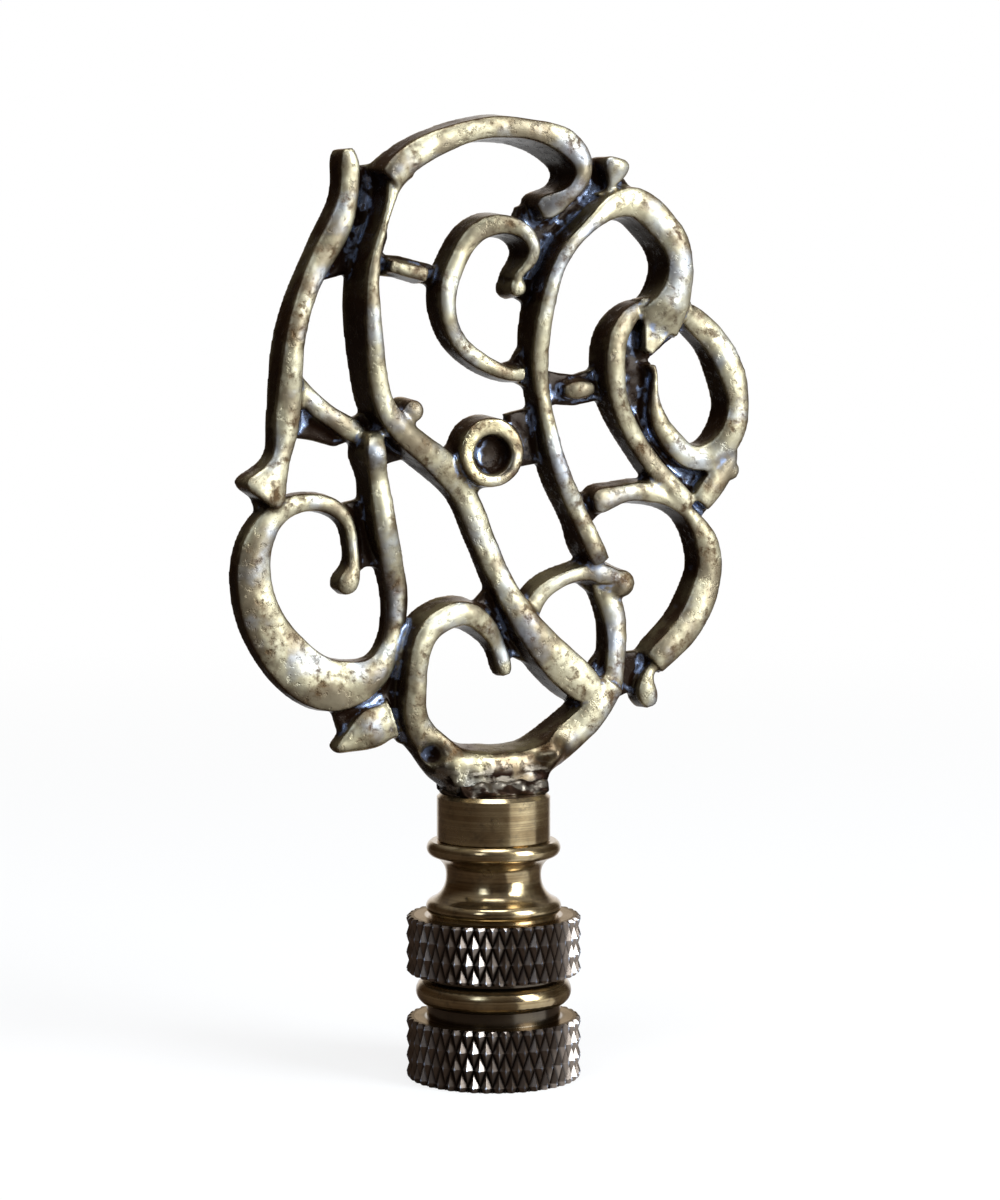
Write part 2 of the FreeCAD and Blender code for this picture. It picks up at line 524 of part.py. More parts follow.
# Sunk webs in the forks: outlines on the drawing.
webs = [
    ("web_top_left", [
        (-12.6, 51.5), (-9.0, 52.0), (-9.0, 45.7), (-10.4, 42.0), (-12.6, 42.9), (-14.9, 42.3),
        (-13.6, 46.2), (-12.8, 49.5),
    ]),
    ("web_crown", [
        (2.7, 48.5), (6.6, 49.6), (8.3, 51.4), (8.1, 52.6), (10.4, 52.4), (11.4, 52.6),
        (13.0, 50.4), (14.4, 49.8), (10.5, 47.9), (7.3, 45.4), (5.6, 42.9), (4.4, 40.0),
        (2.6, 41.0), (1.6, 41.0), (1.3, 42.4), (2.9, 42.9), (3.1, 45.4), (2.0, 46.8),
    ]),
    ("web_boss_right", [(1.6, 31.4), (4.4, 32.0), (5.5, 30.4), (6.2, 27.5), (2.4, 26.9)]),
    ("web_boss_left", [(-4.2, 28.4), (-1.2, 31.0), (0.8, 26.0), (-1.6, 24.7), (-3.8, 26.8)]),
    ("web_left_hook", [
        (-13.6, 24.2), (-11.7, 24.6), (-9.6, 24.9), (-9.2, 18.9), (-11.0, 19.1), (-12.2, 18.2),
        (-12.4, 21.0),
    ]),
    ("web_right_strip", [
        (12.6, 40.0), (15.0, 41.2), (18.9, 40.2), (18.1, 38.3), (14.9, 35.9), (15.1, 32.4),
        (16.8, 29.2), (19.9, 26.9), (19.9, 23.4), (17.5, 23.4), (14.1, 27.4), (12.2, 30.8),
        (11.3, 34.1), (11.4, 37.7),
    ]),
    ("web_hook_root", [(6.9, 24.9), (10.4, 24.6), (10.5, 23.0), (9.0, 21.7), (7.5, 22.0)]),
    ("web_side", [
        (15.4, 26.6), (19.9, 27.6), (22.2, 27.2), (21.4, 23.8), (19.6, 21.8), (17.0, 23.2),
        (15.0, 24.6),
    ]),
    ("web_left_foot", [
        (-9.0, 14.6), (-6.9, 13.9), (-6.9, 4.4), (-8.0, 4.2), (-10.0, 7.4), (-9.9, 9.7),
        (-8.6, 12.1),
    ]),
    ("web_centre", [
        (-1.3, 15.7), (0.2, 17.3), (1.4, 16.0), (5.0, 11.2), (4.9, 9.9), (1.9, 11.3), (0.0, 13.6),
    ]),
    ("web_low_right", [
        (4.2, 12.4), (6.4, 10.8), (8.0, 10.1), (9.5, 10.2), (10.9, 12.0), (11.4, 11.3), (11.4, 7.4),
        (9.0, 7.2), (7.4, 9.0),
    ]),
    ("web_right_foot", [
        (11.0, 12.3), (12.6, 11.1), (14.2, 11.2), (15.6, 11.0), (14.7, 8.6), (13.4, 7.7),
        (11.6, 7.0),
    ]),
    ("web_leaf", [
        (-14.2, 8.0), (-12.5, 9.4), (-8.9, 10.0), (-7.7, 8.0), (-8.2, 5.6), (-12.0, 5.6),
        (-13.4, 5.6),
    ]),
    ("web_pit", [
        (-17.7, 33.8), (-15.9, 32.6), (-13.3, 31.0), (-11.7, 29.6), (-13.7, 28.9), (-15.5, 29.4),
        (-17.8, 29.8),
    ]),
    ("web_cross_end", [
        (-12.3, 31.2), (-9.7, 32.2), (-7.9, 29.4), (-7.0, 27.9), (-8.9, 27.5), (-10.4, 26.4),
        (-12.1, 28.5),
    ]),
    ("web_spur", [(-21.0, 25.4), (-18.6, 26.6), (-18.4, 23.9), (-20.2, 22.9)]),
    ("web_crook_end", [
        (0.4, 35.4), (2.2, 35.8), (2.9, 36.9), (4.4, 37.3), (4.6, 32.4), (3.4, 33.6), (0.9, 34.7),
    ]),
    ("web_oval", [
        (4.2, 35.2), (6.2, 34.8), (8.0, 34.6), (9.4, 35.0), (11.1, 36.2), (11.4, 32.4),
        (10.1, 32.4), (8.0, 32.0), (6.2, 32.1), (4.5, 31.6),
    ]),
    ("web_knob", [(8.9, 19.4), (10.3, 19.1), (11.3, 16.9), (10.5, 15.4), (8.4, 17.1)]),
    ("web_small", [(-11.2, 44.6), (-8.1, 44.4), (-5.0, 43.7), (-4.9, 41.9), (-7.9, 42.6), (-11.4, 42.9)]),
]

back_y = size("FootDepth") / 2


def knob(label, x, z, radius, thick):
    # A short drum with a domed face, standing on the flat back.
    depth = thick * size("ScrollThickness") / 4.7
    crown = size("BarCrown") * 0.8
    reach = radius * size("BarWidth") / 2.0
    start = FreeCAD.Vector(0, 0, 0)
    wide = reach + depth * math.tan(math.radians(size("BarDraft")))
    edges = [
        Part.makeLine(start, FreeCAD.Vector(wide, 0, 0)),
        Part.makeLine(FreeCAD.Vector(wide, 0, 0), FreeCAD.Vector(reach, -depth, 0)),
        Part.Arc(
            FreeCAD.Vector(reach, -depth, 0),
            FreeCAD.Vector(reach * 0.55, -depth - crown * 0.72, 0),
            FreeCAD.Vector(0, -depth - crown, 0),
        ).toShape(),
        Part.makeLine(FreeCAD.Vector(0, -depth - crown, 0), start),
    ]
    half = Part.Face(Part.Wire(edges))
    obj = doc.addObject("Part::Feature", label)
    obj.Shape = half.revolve(start, FreeCAD.Vector(0, 1, 0), 360)
    obj.Placement.Base = FreeCAD.Vector(x * grid_x, back_y, seat + z * grid_z)
    return obj


def web(label, outline):
    # A flat web at the back of the casting.
    points = [FreeCAD.Vector(x * grid_x, back_y, seat + z * grid_z) for x, z in outline]
    face = Part.Face(Part.makePolygon(points + [points[0]]))
    obj = doc.addObject("Part::Feature", label)
    obj.Shape = face.extrude(FreeCAD.Vector(0, -size("WebThickness"), 0))
    return obj


extras = []
for label, x, z, radius, thick in knobs:
    extras.append(knob(label, x, z, radius, thick))
for label, outline in webs:
    extras.append(web(label, outline))

# The boss in the middle, with its pit, the oval bead and the foot.
boss = solid("Part::Cone", "boss", {
    "Radius1": "Sizes.BossDiameter / 2",
    "Radius2": "Sizes.BossDiameter / 2 - 0.25",
    "Height": "2.95",
})
boss.Placement = FreeCAD.Placement(
    FreeCAD.Vector(-0.5 * grid_x, back_y, seat + 28.3 * grid_z),
    FreeCAD.Rotation(FreeCAD.Vector(1, 0, 0), 90),
)
pit = solid("Part::Cone", "boss_pit", {
    "Radius1": "Sizes.BossPitDiameter / 2 - 0.35",
    "Radius2": "Sizes.BossPitDiameter / 2 + 0.2",
    "Height": "Sizes.BossPitDepth + 0.8",
})
pit.Placement = FreeCAD.Placement(
    FreeCAD.Vector(-0.45 * grid_x, back_y - 2.95 + size("BossPitDepth"), seat + 28.1 * grid_z),
    FreeCAD.Rotation(FreeCAD.Vector(1, 0, 0), 90),
)
foot = solid("Part::Wedge", "foot", {
    "Xmin": "-Sizes.FootWidth / 2",
    "Xmax": "Sizes.FootWidth / 2",
    "Ymin": "0.15",
    "Ymax": "3.1",
    "Zmin": "-Sizes.FootDepth / 2",
    "Zmax": "Sizes.FootDepth / 2",
    "X2min": "-Sizes.FootWidth / 2 - 1.15",
    "X2max": "Sizes.FootWidth / 2 + 0.9",
    "Z2min": "-Sizes.FootDepth / 2",
    "Z2max": "Sizes.FootDepth / 2 - 0.3",
})
foot.Placement = FreeCAD.Placement(
    FreeCAD.Vector(0, 0, seat),
    FreeCAD.Rotation(FreeCAD.Vector(1, 0, 0), 90),
)
tang = solid("Part::Cylinder", "tang", {
    "Radius": "Sizes.TangDiameter / 2",
    "Height": "Sizes.TangLength + 1",
    "Placement.Base.z": collar_top + " - Sizes.TangLength",
})
boss_cup = joined("Part::Cut", "boss_cup", [boss, pit])
scroll = joined("Part::MultiFuse", "scroll_ornament", bars + extras + [boss_cup, foot, tang])

# The solder: a low bank round the foot, cut to what stands in it.
solder_bank = solid("Part::Wedge", "solder_bank", {
    "Xmin": "-Sizes.FootWidth / 2 - 0.15",
    "Xmax": "Sizes.FootWidth / 2 + 0.15",
    "Ymin": "0",
    "Ymax": "Sizes.SolderHeight",
    "Zmin": "-Sizes.FootDepth / 2 - 0.8",
    "Zmax": "Sizes.FootDepth / 2 + 0.8",
    "X2min": "-Sizes.FootWidth / 2 - 0.05",
    "X2max": "Sizes.FootWidth / 2 + 0.05",
    "Z2min": "-Sizes.FootDepth / 2 - 0.12",
    "Z2max": "Sizes.FootDepth / 2 + 0.12",
})
solder_bank.Placement = FreeCAD.Placement(
    FreeCAD.Vector(0, 0, seat),
    FreeCAD.Rotation(FreeCAD.Vector(1, 0, 0), 90),
)
solder_limit = solid("Part::Cylinder", "solder_limit", {
    "Radius": collar_r + " - Sizes.CollarBevel + 0.1",
    "Height": "Sizes.SolderHeight + 1",
    "Placement.Base.z": collar_top,
})
solder_blank = joined("Part::MultiCommon", "solder_blank", [solder_bank, solder_limit])
low_scroll = doc.getObject("low_scroll")
solder_core = joined("Part::MultiFuse", "solder_core", [foot, tang, low_scroll])
solder = joined("Part::Cut", "solder_fillet", [solder_blank, solder_core])
doc.recompute()

for obj in doc.Objects:
    if "Invalid" in obj.State or "Error" in obj.State:
        raise RuntimeError("%s did not build: %s" % (obj.Label, obj.State))
for obj in (base, stud, collar, solder, scroll):
    shape = obj.Shape
    if shape.isNull() or not shape.isValid():
        raise RuntimeError("%s has no valid shape" % obj.Label)
    print(obj.Label, len(shape.Solids), len(shape.Faces), round(shape.Volume, 1))
    shape.exportStep("parts/%s.step" % obj.Label)
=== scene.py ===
import json
import math

import bmesh
import bpy
import numpy as np
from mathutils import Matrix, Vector

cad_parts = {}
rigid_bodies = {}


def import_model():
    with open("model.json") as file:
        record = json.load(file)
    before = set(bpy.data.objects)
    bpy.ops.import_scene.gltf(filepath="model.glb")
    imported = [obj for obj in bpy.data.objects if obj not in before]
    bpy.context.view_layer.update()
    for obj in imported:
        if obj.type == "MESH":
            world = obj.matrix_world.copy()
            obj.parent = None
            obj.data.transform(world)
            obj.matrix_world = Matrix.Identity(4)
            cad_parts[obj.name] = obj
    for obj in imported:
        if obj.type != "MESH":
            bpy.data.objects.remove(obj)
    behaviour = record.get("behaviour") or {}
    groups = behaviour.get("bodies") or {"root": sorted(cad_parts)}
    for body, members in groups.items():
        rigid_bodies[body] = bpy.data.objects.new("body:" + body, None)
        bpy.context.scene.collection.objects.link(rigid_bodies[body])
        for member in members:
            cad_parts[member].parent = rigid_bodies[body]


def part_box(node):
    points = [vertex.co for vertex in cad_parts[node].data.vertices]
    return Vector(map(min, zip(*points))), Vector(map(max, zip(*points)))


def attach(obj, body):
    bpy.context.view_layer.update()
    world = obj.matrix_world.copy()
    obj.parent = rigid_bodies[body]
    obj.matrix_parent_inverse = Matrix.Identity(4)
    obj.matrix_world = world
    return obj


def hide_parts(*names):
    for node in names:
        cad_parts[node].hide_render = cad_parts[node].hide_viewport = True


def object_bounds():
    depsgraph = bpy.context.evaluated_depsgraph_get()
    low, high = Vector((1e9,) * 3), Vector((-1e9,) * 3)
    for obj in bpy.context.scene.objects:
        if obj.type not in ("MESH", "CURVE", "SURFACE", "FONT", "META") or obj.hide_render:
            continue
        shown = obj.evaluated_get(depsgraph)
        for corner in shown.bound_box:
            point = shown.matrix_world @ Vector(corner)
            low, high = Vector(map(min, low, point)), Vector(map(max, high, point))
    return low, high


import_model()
cadLow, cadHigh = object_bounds()
mm = 0.001
baseLow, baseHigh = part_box("base")
knurlRadius = (baseHigh.x - baseLow.x) / 2
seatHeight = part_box("collar")[1].z  # the collar's top, where the casting stands
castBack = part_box("scroll_ornament")[1].y  # the flat back of the casting
print("frame loaded")


# Helpers for meshes

def cadObject(nodeName):
    # The object that shows a CAD node.
    return next(o for o in bpy.data.objects if o.type == "MESH" and o.name.split(".")[0] == nodeName)


def copyOfNode(nodeName, newName, mergeDistance=2e-6):
    # A merged copy of a CAD node's mesh as a piece of its own.
    source = cadObject(nodeName)
    work = bmesh.new()
    work.from_mesh(source.data)
    work.transform(source.matrix_world)
    bmesh.ops.remove_doubles(work, verts=work.verts, dist=mergeDistance)
    mesh = bpy.data.meshes.new(newName)
    work.to_mesh(mesh)
    work.free()
    piece = bpy.data.objects.new(newName, mesh)
    bpy.context.scene.collection.objects.link(piece)
    return piece


def applyModifiers(piece):
    # Bakes the piece's modifiers into its mesh and takes them off.
    graph = bpy.context.evaluated_depsgraph_get()
    mesh = bpy.data.meshes.new_from_object(piece.evaluated_get(graph))
    old = piece.data
    piece.modifiers.clear()
    piece.data = mesh
    mesh.name = piece.name
    if old.users == 0:
        bpy.data.meshes.remove(old)


def remeshPiece(piece, voxel):
    # Gives the piece one closed skin of small even faces.
    remesh = piece.modifiers.new("remesh", "REMESH")
    remesh.mode = "VOXEL"
    remesh.voxel_size = voxel
    applyModifiers(piece)


def readVertices(mesh, what):
    # The places ("co") or the normals ("normal") of all vertices, one row for each.
    rows = np.empty(len(mesh.vertices) * 3)
    mesh.vertices.foreach_get(what, rows)
    return rows.reshape(-1, 3)


def movePoints(mesh, points):
    mesh.vertices.foreach_set("co", points.reshape(-1))
    mesh.update()


def neighbourMean(mesh, values, rounds):
    # Each round takes half of a value and half of the mean of its neighbours along the edges.
    ends = np.empty(len(mesh.edges) * 2, dtype=np.int64)
    mesh.edges.foreach_get("vertices", ends)
    ends = ends.reshape(-1, 2)
    count = np.zeros(len(mesh.vertices))
    np.add.at(count, ends[:, 0], 1)
    np.add.at(count, ends[:, 1], 1)
    count = np.maximum(count, 1)
    for _ in range(rounds):
        total = np.zeros_like(values)
        np.add.at(total, ends[:, 0], values[ends[:, 1]])
        np.add.at(total, ends[:, 1], values[ends[:, 0]])
        values = 0.5 * values + 0.5 * (total.T / count).T
    return values


def standsProud(mesh, points, normals, rounds):
    # How many mm a point stands out of its surroundings; more rounds look wider around it.
    return np.einsum("ij,ij->i", points - neighbourMean(mesh, points, rounds), normals) / mm


def waves(points, size, seed, count=24):
    # A smooth bumpy field, mostly from -1 to 1, made of seeded waves about that long.
    rng = np.random.default_rng(seed)
    shortest, longest = 0.75, 1.6  # lengths of the waves as shares of the size
    evenOut = 1.4  # brings about two spreads of the sum to 1
    field = np.zeros(len(points))
    for _ in range(count):
        way = rng.normal(size=3)
        way /= np.linalg.norm(way)
        length = size * rng.uniform(shortest, longest)
        phase = rng.uniform(0, 6.283)
        field += np.sin(points @ way * (2 * math.pi / length) + phase)
    return field / math.sqrt(count) / evenOut


def ramp(values, low, high):
    # 0 up to low and 1 from high on, with a smooth rise between.
    share = np.clip((values - low) / (high - low), 0, 1)
    return share * share * (3 - 2 * share)


def fall(values, low, high):
    # 1 up to low and 0 from high on, with a smooth drop between.
    return ramp(-values, -high, -low)


def distanceFrom(points, spot):
    # Distance from a spot, as it is seen from the front.
    return np.hypot(points[:, 0] - spot["x"], points[:, 2] - spot["z"])


# Helpers for materials

def linear(red, green, blue):
    # A screen colour, 0 to 255, as the linear colour that a shader wants.
    shares = []
    for channel in (red, green, blue):
        share = channel / 255
        shares.append(share / 12.92 if share <= 0.04045 else ((share + 0.055) / 1.055) ** 2.4)
    return (*shares, 1.0)


def newMaterial(name):
    material = bpy.data.materials.new(name)
    material.use_nodes = True
    tree = material.node_tree
    tree.nodes.clear()
    out = tree.nodes.new("ShaderNodeOutputMaterial")
    shader = tree.nodes.new("ShaderNodeBsdfPrincipled")
    tree.links.new(shader.outputs[0], out.inputs[0])
    return material, tree, shader


def mixColour(tree, mask, first, second):
    # Mixes two colours, each a plain colour or a socket, by a mask socket.
    mix = tree.nodes.new("ShaderNodeMix")
    mix.data_type = "RGBA"
    tree.links.new(mask, mix.inputs["Factor"])
    for socket, colour in ((mix.inputs[6], first), (mix.inputs[7], second)):
        if isinstance(colour, tuple):
            socket.default_value = colour
        else:
            tree.links.new(colour, socket)
    return mix.outputs[2]


def mathNode(tree, kind, *values):
    # One step of arithmetic, each value a plain number or a socket.
    node = tree.nodes.new("ShaderNodeMath")
    node.operation = kind
    for socket, value in zip(node.inputs, values):
        if isinstance(value, (int, float)):
            socket.default_value = value
        else:
            tree.links.new(value, socket)
    return node.outputs[0]


def plus(tree, first, second):
    return mathNode(tree, "ADD", first, second)


def times(tree, first, second):
    return mathNode(tree, "MULTIPLY", first, second)


def larger(tree, first, second):
    return mathNode(tree, "MAXIMUM", first, second)


def rangeNode(tree, value, fromLow, fromHigh, toLow=0.0, toHigh=1.0):
    # A smooth step from one value to another between two levels.
    node = tree.nodes.new("ShaderNodeMapRange")
    node.interpolation_type = "SMOOTHSTEP"
    node.inputs["From Min"].default_value = fromLow
    node.inputs["From Max"].default_value = fromHigh
    node.inputs["To Min"].default_value = toLow
    node.inputs["To Max"].default_value = toHigh
    tree.links.new(value, node.inputs["Value"])
    return node.outputs[0]


def noiseMask(tree, coords, scale, low, high, detail=4.0, stretch=(1, 1, 1)):
    # Noise between two levels as a mask, turned over where low is the higher one.
    turn = tree.nodes.new("ShaderNodeMapping")
    turn.inputs["Scale"].default_value = stretch
    tree.links.new(coords, turn.inputs["Vector"])
    grain = tree.nodes.new("ShaderNodeTexNoise")
    grain.inputs["Scale"].default_value = scale
    grain.inputs["Detail"].default_value = detail
    tree.links.new(turn.outputs[0], grain.inputs["Vector"])
    return rangeNode(tree, grain.outputs[0], low, high)


def addBump(tree, shader, height, strength, depth):
    bump = tree.nodes.new("ShaderNodeBump")
    bump.inputs["Strength"].default_value = strength
    bump.inputs["Distance"].default_value = depth
    tree.links.new(height, bump.inputs["Height"])
    tree.links.new(bump.outputs[0], shader.inputs["Normal"])


# The pits that both kinds of brass share

pitting = {
    "detail": 5.0,
    "roughness": 0.62,
    "pitLevels": (0.30, 0.46),
    "lumpScale": 0.28,  # share of the pits' own scale
    "lumpDetail": 3.0,
    "lumpHeight": 1.4,
    "dirtLevels": (0.62, 0.36),
    "patchLevels": (0.40, 0.66),
}


def makePittingGroup():
    # Fine pits and soft lumps of worn metal, as a height, and a mask of the dirt in the pits.
    tree = bpy.data.node_groups.new("castPitting", "ShaderNodeTree")
    face = tree.interface
    face.new_socket("Vector", in_out="INPUT", socket_type="NodeSocketVector")
    face.new_socket("Pit Scale", in_out="INPUT", socket_type="NodeSocketFloat")
    face.new_socket("Height", in_out="OUTPUT", socket_type="NodeSocketFloat")
    face.new_socket("Dirt", in_out="OUTPUT", socket_type="NodeSocketFloat")
    nodes, links = tree.nodes, tree.links
    start = nodes.new("NodeGroupInput")
    end = nodes.new("NodeGroupOutput")
    fine = nodes.new("ShaderNodeTexNoise")
    fine.inputs["Detail"].default_value = pitting["detail"]
    fine.inputs["Roughness"].default_value = pitting["roughness"]
    links.new(start.outputs["Vector"], fine.inputs["Vector"])
    links.new(start.outputs["Pit Scale"], fine.inputs["Scale"])
    broad = nodes.new("ShaderNodeTexNoise")
    broad.inputs["Detail"].default_value = pitting["lumpDetail"]
    links.new(start.outputs["Vector"], broad.inputs["Vector"])
    links.new(times(tree, start.outputs["Pit Scale"], pitting["lumpScale"]), broad.inputs["Scale"])
    pits = rangeNode(tree, fine.outputs[0], *pitting["pitLevels"])
    lumps = times(tree, broad.outputs[0], pitting["lumpHeight"])
    links.new(plus(tree, pits, lumps), end.inputs["Height"])
    dirt = rangeNode(tree, fine.outputs[0], *pitting["dirtLevels"])
    patch = rangeNode(tree, broad.outputs[0], *pitting["patchLevels"])
    links.new(times(tree, dirt, patch), end.inputs["Dirt"])
    return tree


pittingGroup = makePittingGroup()


def addPits(tree, coords, scale):
    pits = tree.nodes.new("ShaderNodeGroup")
    pits.node_tree = pittingGroup
    pits.inputs["Pit Scale"].default_value = scale
    tree.links.new(coords, pits.inputs["Vector"])
    return pits


# The finish of the casting

castFinish = {
    "rubbed": linear(188, 181, 155),
    "olive": linear(152, 138, 100),
    "brown": linear(80, 57, 33),
    "black": linear(24, 12, 6),
    # colour of the painted blue glints on the fillets
    "glint": linear(146, 162, 194),
    "tin": linear(132, 124, 112),
    # colour of the painted highlights on the rubbed faces
    "sheen": linear(184, 194, 211),
    "mottle": {"scale": 300, "low": 0.42, "high": 0.60, "detail": 7.0},
    "paintedSheen": {"scale": 240, "low": 0.50, "high": 0.68, "detail": 6.0},
    # streaks of the painted glints
    "streak": {"scale": 700, "low": 0.48, "high": 0.60, "detail": 5.0},
    "creep": {"scale": 420, "low": 0.32, "high": 0.50, "detail": 5.0},
    "smear": {"scale": 620, "low": 0.50, "high": 0.62, "detail": 5.0, "stretch": (1, 1, 2.4)},
    "rubbedLeast": 0.42,  # share of the rubbed tone where the mottle is brown
    "sheenShare": 0.55,
    "dirtShare": 0.85,
    "webShare": 0.96,
    "tinTop": 0.0032,  # heights over the collar where the tin ends and where it is full
    "tinFull": 0.0016,
    "metallic": 0.92,
    "metallicHollow": (0.2, 0.95),
    "faceRough": 0.47,
    "flankRough": 0.22,
    "dirtRough": 0.15,
    "specular": 0.10,
    "specularTint": (1.0, 0.78, 0.60, 1),
    "coat": 0.05,
    "coatRough": 0.14,
    "pitScale": 1500.0,
    "bump": 0.34,
    "bumpDepth": 0.00012,
}


def makeCastBrass():
    # Antique cast brass: pale where it is rubbed, brown and black in the hollows, with painted shade on
    # the flanks and painted highlights and glints.
    material, tree, shader = newMaterial("castBrass")
    coords = tree.nodes.new("ShaderNodeTexCoord").outputs["Object"]
    patina = tree.nodes.new("ShaderNodeAttribute")
    patina.attribute_name = "patina"
    channels = tree.nodes.new("ShaderNodeSeparateColor")
    tree.links.new(patina.outputs["Color"], channels.inputs[0])
    wear, hollow, web = channels.outputs[:3]
    pits = addPits(tree, coords, castFinish["pitScale"])
    mottle = noiseMask(tree, coords, **castFinish["mottle"])
    tone = mixColour(tree, mottle, castFinish["brown"], castFinish["olive"])
    rubbing = times(tree, wear, rangeNode(tree, mottle, 0.0, 1.0, castFinish["rubbedLeast"], 1.0))
    tone = mixColour(tree, rubbing, tone, castFinish["rubbed"])
    # Painted cool highlights in patches on the rubbed faces.
    paintedSheen = times(tree, wear, noiseMask(tree, coords, **castFinish["paintedSheen"]))
    tone = mixColour(tree, times(tree, paintedSheen, castFinish["sheenShare"]), tone, castFinish["sheen"])
    dirt = times(tree, pits.outputs["Dirt"], castFinish["dirtShare"])
    tone = mixColour(tree, dirt, tone, castFinish["brown"])
    tone = mixColour(tree, times(tree, web, castFinish["webShare"]), tone, castFinish["black"])
    # Black for the patina in the hollows and for the painted shade on the flanks.
    tone = mixColour(tree, hollow, tone, castFinish["black"])
    # Painted blue glints in streaks along the fillets in the hollows.
    paintedGlint = times(tree, noiseMask(tree, coords, **castFinish["streak"]), patina.outputs["Alpha"])
    tone = mixColour(tree, paintedGlint, tone, castFinish["glint"])
    # Solder has crept up the lowest part of the foot.
    place = tree.nodes.new("ShaderNodeSeparateXYZ")
    tree.links.new(coords, place.inputs[0])
    tinTop = seatHeight + castFinish["tinTop"]
    tinFull = seatHeight + castFinish["tinFull"]
    tinned = rangeNode(tree, place.outputs["Z"], tinTop, tinFull)
    tinned = times(tree, tinned, noiseMask(tree, coords, **castFinish["creep"]))
    smear = noiseMask(tree, coords, **castFinish["smear"])
    silver = mixColour(tree, smear, castFinish["black"], castFinish["tin"])
    tree.links.new(mixColour(tree, tinned, tone, silver), shader.inputs["Base Color"])
    metallic = rangeNode(tree, hollow, *castFinish["metallicHollow"], castFinish["metallic"], 0.0)
    tree.links.new(larger(tree, metallic, paintedGlint), shader.inputs["Metallic"])
    rough = rangeNode(tree, wear, 0.0, 1.0, castFinish["flankRough"], castFinish["faceRough"])
    rough = plus(tree, rough, times(tree, pits.outputs["Dirt"], castFinish["dirtRough"]))
    tree.links.new(rough, shader.inputs["Roughness"])
    shader.inputs["Specular IOR Level"].default_value = castFinish["specular"]
    shader.inputs["Specular Tint"].default_value = castFinish["specularTint"]
    shader.inputs["Coat Weight"].default_value = castFinish["coat"]
    shader.inputs["Coat Roughness"].default_value = castFinish["coatRough"]
    addBump(tree, shader, pits.outputs["Height"], castFinish["bump"], castFinish["bumpDepth"])
    return material


# The finish of the turned pieces

turnedFinish = {
    "bright": linear(186, 168, 128),
    "mid": linear(136, 112, 72),
    "dark": linear(46, 31, 16),
    "lineScale": 5200,
    "lineDetail": 3.0,
    "lineLevels": (0.38, 0.62),
    "blotch": {"scale": 300, "low": 0.35, "high": 0.68},
    "pitScale": 2600.0,
    "dirtShare": 0.45,
    "metallic": 0.95,
    "edgeTint": (0.86, 0.72, 0.56, 1),
    "rough": 0.14,
    "blotchRough": 0.14,
    "coat": 1.0,
    "coatRough": 0.18,
    "bump": 0.12,
    "bumpDepth": 0.00003,
}

knurlFinish = {
    "tip": linear(164, 172, 188),
    "face": linear(120, 108, 98),
    "root": linear(32, 20, 13),
    "shelf": linear(62, 47, 29),
    "ringRadius": knurlRadius - 0.66 * mm,
    "rootRadii": (knurlRadius - 0.46 * mm, knurlRadius - 0.26 * mm),
    "tipRadii": (knurlRadius - 0.12 * mm, knurlRadius - 0.02 * mm),
    "shelfRadii": (5.6 * mm, 5.9 * mm),
    "shelfTilt": (0.80, 0.97),
    "shelfShare": 0.85,
    "grooveFoot": (4.4 * mm, 5.2 * mm),  # heights where the dirt between the rings begins and ends
    "grooveTop": (9.1 * mm, 8.6 * mm),
    "grooveRadii": (6.2 * mm, 5.8 * mm),
    "grooveShare": 0.86,
    "rough": 0.31,
}


def paintKnurl(tree, metal, radius, height):
    # Dark roots and rubbed tips on the rings.
    inRing = mathNode(tree, "GREATER_THAN", radius, knurlFinish["ringRadius"])
    face = rangeNode(tree, radius, *knurlFinish["rootRadii"])
    tip = rangeNode(tree, radius, *knurlFinish["tipRadii"])
    knurl = mixColour(tree, face, knurlFinish["root"], knurlFinish["face"])
    knurl = mixColour(tree, tip, knurl, knurlFinish["tip"])
    metal = mixColour(tree, inRing, metal, knurl)
    # The rings' upper faces, their shelves, are painted darker.
    facing = tree.nodes.new("ShaderNodeSeparateXYZ")
    tree.links.new(tree.nodes.new("ShaderNodeNewGeometry").outputs["Normal"], facing.inputs[0])
    upward = rangeNode(tree, facing.outputs["Z"], *knurlFinish["shelfTilt"])
    shelf = times(tree, upward, rangeNode(tree, radius, *knurlFinish["shelfRadii"]))
    metal = mixColour(tree, times(tree, shelf, knurlFinish["shelfShare"]), metal, knurlFinish["shelf"])
    # Dirt stays in the groove between the rings.
    aboveFoot = rangeNode(tree, height, *knurlFinish["grooveFoot"])
    belowTop = rangeNode(tree, height, *knurlFinish["grooveTop"])
    inner = rangeNode(tree, radius, *knurlFinish["grooveRadii"])
    groove = times(tree, times(tree, aboveFoot, belowTop), inner)
    metal = mixColour(tree, times(tree, groove, knurlFinish["grooveShare"]), metal, knurlFinish["root"])
    return metal, inRing, shelf


